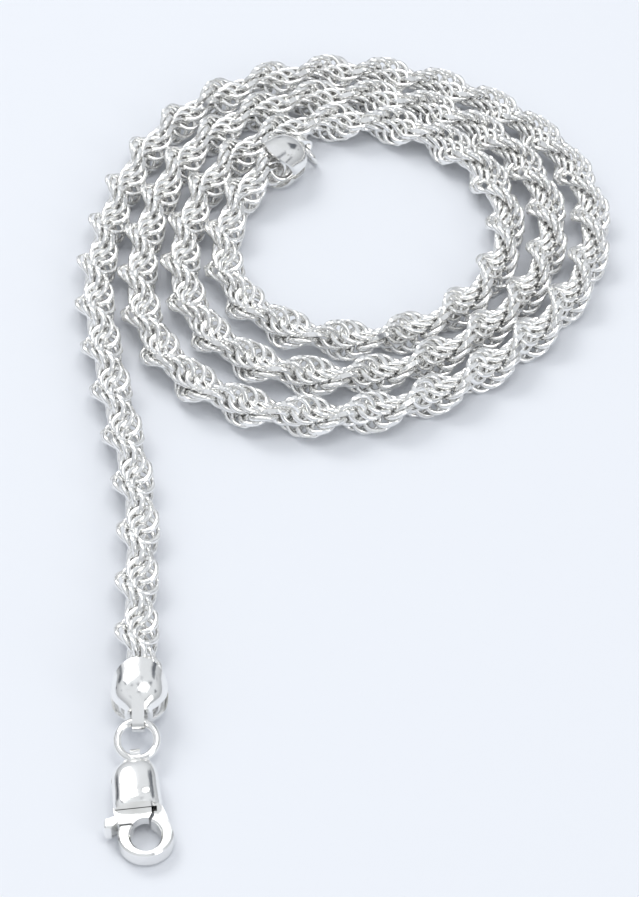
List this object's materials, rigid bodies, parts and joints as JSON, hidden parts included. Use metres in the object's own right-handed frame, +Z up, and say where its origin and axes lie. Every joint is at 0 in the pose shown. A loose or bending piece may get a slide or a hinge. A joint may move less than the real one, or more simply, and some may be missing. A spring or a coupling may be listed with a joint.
{
  "type": "chain necklace",
  "caption": "Diamond-cut rope chain necklace in polished silver, laid in a loose spiral, with folded end caps, a jump ring and a lobster clasp.",
  "frame": {"origin": "middle of the footprint of the laid-out necklace, on the table", "axes": "+Z up from the table, +Y along the straight tail from the clasp towards the spiral, +X to the right of it"},
  "size_m": [0.0556, 0.1096, 0.0053],
  "materials": {
    "rope_silver": "polished silver wire with diamond-cut flats",
    "cap_silver": "polished silver",
    "clasp_silver": "polished silver",
    "spring_steel": "plain spring strip"
  },
  "bodies": {
    "chain": {"rope_links_01": "rope_silver", "rope_links_02": "rope_silver", "rope_links_03": "rope_silver", "rope_links_04": "rope_silver", "rope_links_05": "rope_silver", "rope_links_06": "rope_silver", "rope_links_07": "rope_silver", "rope_links_08": "rope_silver", "rope_links_09": "rope_silver", "rope_links_10": "rope_silver", "rope_links_11": "rope_silver", "rope_links_12": "rope_silver", "rope_links_13": "rope_silver", "rope_links_14": "rope_silver", "rope_links_15": "rope_silver", "rope_links_16": "rope_silver", "rope_links_17": "rope_silver", "rope_links_18": "rope_silver", "rope_links_19": "rope_silver", "rope_links_20": "rope_silver", "rope_links_21": "rope_silver", "rope_links_22": "rope_silver", "rope_links_23": "rope_silver", "rope_links_24": "rope_silver", "rope_links_25": "rope_silver", "rope_links_26": "rope_silver", "rope_links_27": "rope_silver", "rope_links_28": "rope_silver", "rope_links_29": "rope_silver", "rope_links_30": "rope_silver", "rope_links_31": "rope_silver", "rope_links_32": "rope_silver", "rope_links_33": "rope_silver", "rope_links_34": "rope_silver", "rope_links_35": "rope_silver", "rope_links_36": "rope_silver", "rope_links_37": "rope_silver", "rope_links_38": "rope_silver", "rope_links_39": "rope_silver", "rope_links_40": "rope_silver", "rope_links_41": "rope_silver", "end_cap_clasp": "cap_silver", "end_cap_inner": "cap_silver"},
    "jump_ring": {"clasp_ring": "clasp_silver"},
    "clasp": {"clasp_body": "clasp_silver", "trigger_pin": "clasp_silver", "trigger_spring": "spring_steel"},
    "trigger": {"clasp_trigger": "clasp_silver"},
    "closing_ring": {"end_ring": "clasp_silver"}
  },
  "joints": [
    {"name": "ring_in_cap", "type": "hinge", "parent": "chain", "child": "jump_ring", "pos_m": [-0.0187, -0.04082, 0.0026], "axis": [-0.9998, -0.0175, 0], "range_deg": [-8, 70]},
    {"name": "clasp_on_ring", "type": "hinge", "parent": "jump_ring", "child": "clasp", "pos_m": [-0.01887, -0.04412, 0.00145], "axis": [-0.9914, -0.1305, 0], "range_deg": [-4, 70]},
    {"name": "trigger_pivot", "type": "hinge", "parent": "clasp", "child": "trigger", "pos_m": [-0.01772, -0.04861, 0.00147], "axis": [0, 0, -1], "range_deg": [0, 25], "deforming": ["trigger_spring"]},
    {"name": "end_ring_in_cap", "type": "hinge", "parent": "chain", "child": "closing_ring", "pos_m": [-0.00454, 0.03912, 0.0027], "axis": [0.7193, -0.6947, 0], "range_deg": [-10, 60]}
  ]
}
